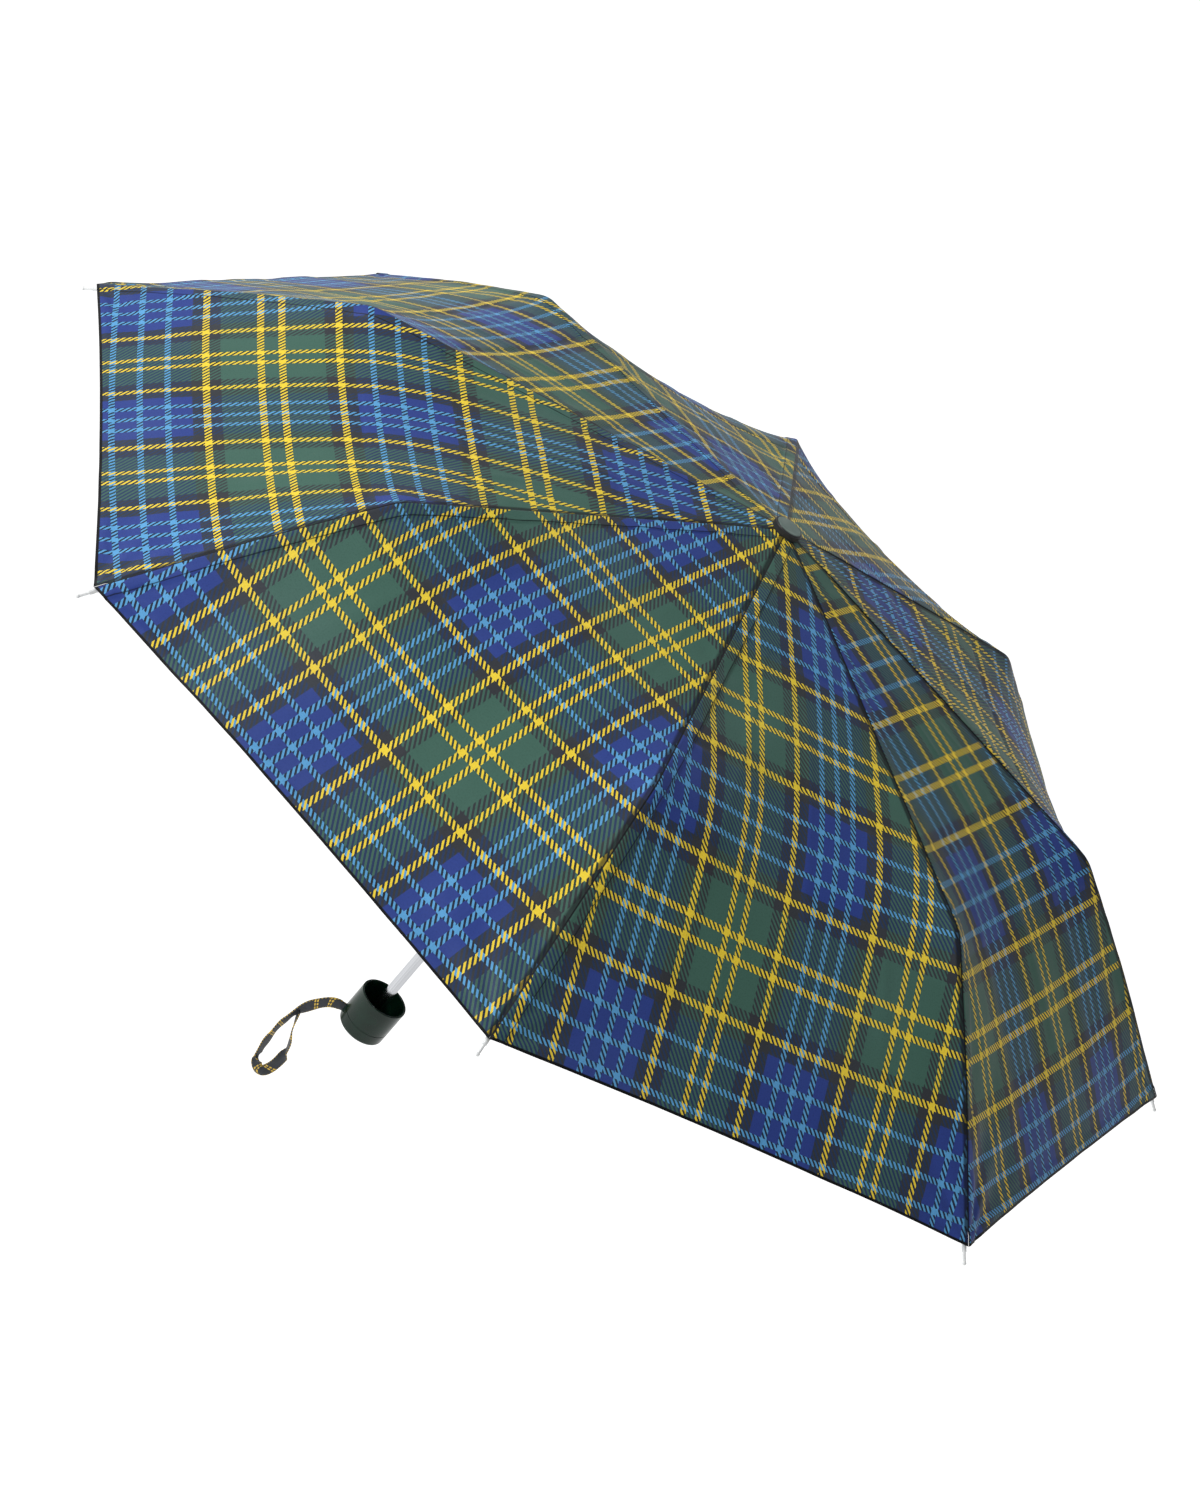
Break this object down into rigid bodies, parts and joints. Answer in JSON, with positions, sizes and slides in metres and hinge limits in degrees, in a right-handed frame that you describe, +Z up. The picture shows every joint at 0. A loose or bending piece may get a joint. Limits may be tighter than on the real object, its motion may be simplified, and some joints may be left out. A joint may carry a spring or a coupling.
{
  "type": "compact folding umbrella",
  "caption": "Open compact folding umbrella: tartan canopy on hinged ribs, telescopic steel shaft, cup handle and wrist strap.",
  "frame": {"origin": "on the shaft axis at the middle of the handle's cylindrical grip", "axes": "+Z up along the shaft from the handle to the crown, +X along rib 1; the ribs are numbered round +Z every 45 degrees; the wrist strap leaves the handle on the -Y side"},
  "size_m": [0.9756, 0.9756, 0.6273],
  "materials": {
    "handle_plastic": "glossy moulded, dark green",
    "black_plastic": "moulded, satin black",
    "cap_disc": "satin grey-green",
    "clear_plastic": "translucent white, moulded",
    "bright_steel": "bright plated steel",
    "rib_steel": "black coated steel",
    "outer_rib_fibre": "black fibreglass rod",
    "canopy_fabric": "woven check, green and blue with yellow and light blue lines",
    "strap_fabric": "woven ribbon in the same check"
  },
  "bodies": {
    "handle": {"handle_cup": "handle_plastic", "handle_base_disc": "black_plastic", "lower_tube": "bright_steel", "wrist_strap": "strap_fabric"},
    "middle_shaft": {"middle_tube": "bright_steel", "middle_ferrule": "bright_steel"},
    "upper_shaft": {"upper_tube": "bright_steel", "upper_ferrule": "bright_steel", "crown": "black_plastic", "crown_ring": "bright_steel", "cap_skirt": "black_plastic", "cap_face": "cap_disc", "canopy": "canopy_fabric"},
    "runner": {"runner": "black_plastic"},
    "top_rib_1": {"top_rib_1": "rib_steel"},
    "stretcher_1": {"stretcher_1": "rib_steel"},
    "middle_rib_1": {"middle_rib_1": "rib_steel"},
    "outer_rib_1": {"outer_rib_1": "outer_rib_fibre", "rib_tip_1": "clear_plastic"},
    "top_rib_2": {"top_rib_2": "rib_steel"},
    "stretcher_2": {"stretcher_2": "rib_steel"},
    "middle_rib_2": {"middle_rib_2": "rib_steel"},
    "outer_rib_2": {"outer_rib_2": "outer_rib_fibre", "rib_tip_2": "clear_plastic"},
    "top_rib_3": {"top_rib_3": "rib_steel"},
    "stretcher_3": {"stretcher_3": "rib_steel"},
    "middle_rib_3": {"middle_rib_3": "rib_steel"},
    "outer_rib_3": {"outer_rib_3": "outer_rib_fibre", "rib_tip_3": "clear_plastic"},
    "top_rib_4": {"top_rib_4": "rib_steel"},
    "stretcher_4": {"stretcher_4": "rib_steel"},
    "middle_rib_4": {"middle_rib_4": "rib_steel"},
    "outer_rib_4": {"outer_rib_4": "outer_rib_fibre", "rib_tip_4": "clear_plastic"},
    "top_rib_5": {"top_rib_5": "rib_steel"},
    "stretcher_5": {"stretcher_5": "rib_steel"},
    "middle_rib_5": {"middle_rib_5": "rib_steel"},
    "outer_rib_5": {"outer_rib_5": "outer_rib_fibre", "rib_tip_5": "clear_plastic"},
    "top_rib_6": {"top_rib_6": "rib_steel"},
    "stretcher_6": {"stretcher_6": "rib_steel"},
    "middle_rib_6": {"middle_rib_6": "rib_steel"},
    "outer_rib_6": {"outer_rib_6": "outer_rib_fibre", "rib_tip_6": "clear_plastic"},
    "top_rib_7": {"top_rib_7": "rib_steel"},
    "stretcher_7": {"stretcher_7": "rib_steel"},
    "middle_rib_7": {"middle_rib_7": "rib_steel"},
    "outer_rib_7": {"outer_rib_7": "outer_rib_fibre", "rib_tip_7": "clear_plastic"},
    "top_rib_8": {"top_rib_8": "rib_steel"},
    "stretcher_8": {"stretcher_8": "rib_steel"},
    "middle_rib_8": {"middle_rib_8": "rib_steel"},
    "outer_rib_8": {"outer_rib_8": "outer_rib_fibre", "rib_tip_8": "clear_plastic"}
  },
  "joints": [
    {"name": "lower_slide", "type": "slide", "parent": "handle", "child": "middle_shaft", "axis": [0, 0, -1], "range_m": [0, 0.118]},
    {"name": "upper_slide", "type": "slide", "parent": "middle_shaft", "child": "upper_shaft", "axis": [0, 0, -1], "range_m": [0, 0.104]},
    {"name": "runner_slide", "type": "slide", "parent": "upper_shaft", "child": "runner", "axis": [0, 0, -1], "range_m": [0, 0.21051], "deforming": ["canopy"]},
    {"name": "top_hinge_1", "type": "hinge", "parent": "upper_shaft", "child": "top_rib_1", "pos_m": [0.0105, 0, 0.515], "axis": [0, 1, 0], "range_deg": [0, 77.85]},
    {"name": "stretcher_hinge_1", "type": "hinge", "parent": "top_rib_1", "child": "stretcher_1", "pos_m": [0.13648, 0, 0.49233], "axis": [0, -1, 0], "range_deg": [0, 155.65]},
    {"name": "middle_hinge_1", "type": "hinge", "parent": "stretcher_1", "child": "middle_rib_1", "pos_m": [0.15616, 0, 0.48879], "axis": [0, -1, 0], "range_deg": [0, 20.45]},
    {"name": "outer_hinge_1", "type": "hinge", "parent": "middle_rib_1", "child": "outer_rib_1", "pos_m": [0.262, 0, 0.46975], "axis": [0, 1, 0], "range_deg": [0, 160.42]},
    {"name": "top_hinge_2", "type": "hinge", "parent": "upper_shaft", "child": "top_rib_2", "pos_m": [0.00743, 0.00743, 0.515], "axis": [-0.7071, 0.7071, 0], "range_deg": [0, 77.85]},
    {"name": "stretcher_hinge_2", "type": "hinge", "parent": "top_rib_2", "child": "stretcher_2", "pos_m": [0.0965, 0.0965, 0.49233], "axis": [0.7071, -0.7071, 0], "range_deg": [0, 155.65]},
    {"name": "middle_hinge_2", "type": "hinge", "parent": "stretcher_2", "child": "middle_rib_2", "pos_m": [0.11042, 0.11042, 0.48879], "axis": [0.7071, -0.7071, 0], "range_deg": [0, 20.45]},
    {"name": "outer_hinge_2", "type": "hinge", "parent": "middle_rib_2", "child": "outer_rib_2", "pos_m": [0.18526, 0.18526, 0.46975], "axis": [-0.7071, 0.7071, 0], "range_deg": [0, 160.42]},
    {"name": "top_hinge_3", "type": "hinge", "parent": "upper_shaft", "child": "top_rib_3", "pos_m": [0, 0.0105, 0.515], "axis": [-1, 0, 0], "range_deg": [0, 77.85]},
    {"name": "stretcher_hinge_3", "type": "hinge", "parent": "top_rib_3", "child": "stretcher_3", "pos_m": [0, 0.13648, 0.49233], "axis": [1, 0, 0], "range_deg": [0, 155.65]},
    {"name": "middle_hinge_3", "type": "hinge", "parent": "stretcher_3", "child": "middle_rib_3", "pos_m": [0, 0.15616, 0.48879], "axis": [1, 0, 0], "range_deg": [0, 20.45]},
    {"name": "outer_hinge_3", "type": "hinge", "parent": "middle_rib_3", "child": "outer_rib_3", "pos_m": [0, 0.262, 0.46975], "axis": [-1, 0, 0], "range_deg": [0, 160.42]},
    {"name": "top_hinge_4", "type": "hinge", "parent": "upper_shaft", "child": "top_rib_4", "pos_m": [-0.00743, 0.00743, 0.515], "axis": [-0.7071, -0.7071, 0], "range_deg": [0, 77.85]},
    {"name": "stretcher_hinge_4", "type": "hinge", "parent": "top_rib_4", "child": "stretcher_4", "pos_m": [-0.0965, 0.0965, 0.49233], "axis": [0.7071, 0.7071, 0], "range_deg": [0, 155.65]},
    {"name": "middle_hinge_4", "type": "hinge", "parent": "stretcher_4", "child": "middle_rib_4", "pos_m": [-0.11042, 0.11042, 0.48879], "axis": [0.7071, 0.7071, 0], "range_deg": [0, 20.45]},
    {"name": "outer_hinge_4", "type": "hinge", "parent": "middle_rib_4", "child": "outer_rib_4", "pos_m": [-0.18526, 0.18526, 0.46975], "axis": [-0.7071, -0.7071, 0], "range_deg": [0, 160.42]},
    {"name": "top_hinge_5", "type": "hinge", "parent": "upper_shaft", "child": "top_rib_5", "pos_m": [-0.0105, 0, 0.515], "axis": [0, -1, 0], "range_deg": [0, 77.85]},
    {"name": "stretcher_hinge_5", "type": "hinge", "parent": "top_rib_5", "child": "stretcher_5", "pos_m": [-0.13648, 0, 0.49233], "axis": [0, 1, 0], "range_deg": [0, 155.65]},
    {"name": "middle_hinge_5", "type": "hinge", "parent": "stretcher_5", "child": "middle_rib_5", "pos_m": [-0.15616, 0, 0.48879], "axis": [0, 1, 0], "range_deg": [0, 20.45]},
    {"name": "outer_hinge_5", "type": "hinge", "parent": "middle_rib_5", "child": "outer_rib_5", "pos_m": [-0.262, 0, 0.46975], "axis": [0, -1, 0], "range_deg": [0, 160.42]},
    {"name": "top_hinge_6", "type": "hinge", "parent": "upper_shaft", "child": "top_rib_6", "pos_m": [-0.00743, -0.00743, 0.515], "axis": [0.7071, -0.7071, 0], "range_deg": [0, 77.85]},
    {"name": "stretcher_hinge_6", "type": "hinge", "parent": "top_rib_6", "child": "stretcher_6", "pos_m": [-0.0965, -0.0965, 0.49233], "axis": [-0.7071, 0.7071, 0], "range_deg": [0, 155.65]},
    {"name": "middle_hinge_6", "type": "hinge", "parent": "stretcher_6", "child": "middle_rib_6", "pos_m": [-0.11042, -0.11042, 0.48879], "axis": [-0.7071, 0.7071, 0], "range_deg": [0, 20.45]},
    {"name": "outer_hinge_6", "type": "hinge", "parent": "middle_rib_6", "child": "outer_rib_6", "pos_m": [-0.18526, -0.18526, 0.46975], "axis": [0.7071, -0.7071, 0], "range_deg": [0, 160.42]},
    {"name": "top_hinge_7", "type": "hinge", "parent": "upper_shaft", "child": "top_rib_7", "pos_m": [0, -0.0105, 0.515], "axis": [1, 0, 0], "range_deg": [0, 77.85]},
    {"name": "stretcher_hinge_7", "type": "hinge", "parent": "top_rib_7", "child": "stretcher_7", "pos_m": [0, -0.13648, 0.49233], "axis": [-1, 0, 0], "range_deg": [0, 155.65]},
    {"name": "middle_hinge_7", "type": "hinge", "parent": "stretcher_7", "child": "middle_rib_7", "pos_m": [0, -0.15616, 0.48879], "axis": [-1, 0, 0], "range_deg": [0, 20.45]},
    {"name": "outer_hinge_7", "type": "hinge", "parent": "middle_rib_7", "child": "outer_rib_7", "pos_m": [0, -0.262, 0.46975], "axis": [1, 0, 0], "range_deg": [0, 160.42]},
    {"name": "top_hinge_8", "type": "hinge", "parent": "upper_shaft", "child": "top_rib_8", "pos_m": [0.00743, -0.00743, 0.515], "axis": [0.7071, 0.7071, 0], "range_deg": [0, 77.85]},
    {"name": "stretcher_hinge_8", "type": "hinge", "parent": "top_rib_8", "child": "stretcher_8", "pos_m": [0.0965, -0.0965, 0.49233], "axis": [-0.7071, -0.7071, 0], "range_deg": [0, 155.65]},
    {"name": "middle_hinge_8", "type": "hinge", "parent": "stretcher_8", "child": "middle_rib_8", "pos_m": [0.11042, -0.11042, 0.48879], "axis": [-0.7071, -0.7071, 0], "range_deg": [0, 20.45]},
    {"name": "outer_hinge_8", "type": "hinge", "parent": "middle_rib_8", "child": "outer_rib_8", "pos_m": [0.18526, -0.18526, 0.46975], "axis": [0.7071, 0.7071, 0], "range_deg": [0, 160.42]}
  ],
  "couplings": [
    {"joint": "top_hinge_1", "follows": "runner_slide", "rad_per_m": 6.4504},
    {"joint": "stretcher_hinge_1", "follows": "runner_slide", "rad_per_m": 12.901},
    {"joint": "middle_hinge_1", "follows": "runner_slide", "rad_per_m": 1.6914},
    {"joint": "outer_hinge_1", "follows": "runner_slide", "rad_per_m": 13.296},
    {"joint": "top_hinge_2", "follows": "runner_slide", "rad_per_m": 6.4504},
    {"joint": "stretcher_hinge_2", "follows": "runner_slide", "rad_per_m": 12.901},
    {"joint": "middle_hinge_2", "follows": "runner_slide", "rad_per_m": 1.6914},
    {"joint": "outer_hinge_2", "follows": "runner_slide", "rad_per_m": 13.296},
    {"joint": "top_hinge_3", "follows": "runner_slide", "rad_per_m": 6.4504},
    {"joint": "stretcher_hinge_3", "follows": "runner_slide", "rad_per_m": 12.901},
    {"joint": "middle_hinge_3", "follows": "runner_slide", "rad_per_m": 1.6914},
    {"joint": "outer_hinge_3", "follows": "runner_slide", "rad_per_m": 13.296},
    {"joint": "top_hinge_4", "follows": "runner_slide", "rad_per_m": 6.4504},
    {"joint": "stretcher_hinge_4", "follows": "runner_slide", "rad_per_m": 12.901},
    {"joint": "middle_hinge_4", "follows": "runner_slide", "rad_per_m": 1.6914},
    {"joint": "outer_hinge_4", "follows": "runner_slide", "rad_per_m": 13.296},
    {"joint": "top_hinge_5", "follows": "runner_slide", "rad_per_m": 6.4504},
    {"joint": "stretcher_hinge_5", "follows": "runner_slide", "rad_per_m": 12.901},
    {"joint": "middle_hinge_5", "follows": "runner_slide", "rad_per_m": 1.6914},
    {"joint": "outer_hinge_5", "follows": "runner_slide", "rad_per_m": 13.296},
    {"joint": "top_hinge_6", "follows": "runner_slide", "rad_per_m": 6.4504},
    {"joint": "stretcher_hinge_6", "follows": "runner_slide", "rad_per_m": 12.901},
    {"joint": "middle_hinge_6", "follows": "runner_slide", "rad_per_m": 1.6914},
    {"joint": "outer_hinge_6", "follows": "runner_slide", "rad_per_m": 13.296},
    {"joint": "top_hinge_7", "follows": "runner_slide", "rad_per_m": 6.4504},
    {"joint": "stretcher_hinge_7", "follows": "runner_slide", "rad_per_m": 12.901},
    {"joint": "middle_hinge_7", "follows": "runner_slide", "rad_per_m": 1.6914},
    {"joint": "outer_hinge_7", "follows": "runner_slide", "rad_per_m": 13.296},
    {"joint": "top_hinge_8", "follows": "runner_slide", "rad_per_m": 6.4504},
    {"joint": "stretcher_hinge_8", "follows": "runner_slide", "rad_per_m": 12.901},
    {"joint": "middle_hinge_8", "follows": "runner_slide", "rad_per_m": 1.6914},
    {"joint": "outer_hinge_8", "follows": "runner_slide", "rad_per_m": 13.296}
  ]
}
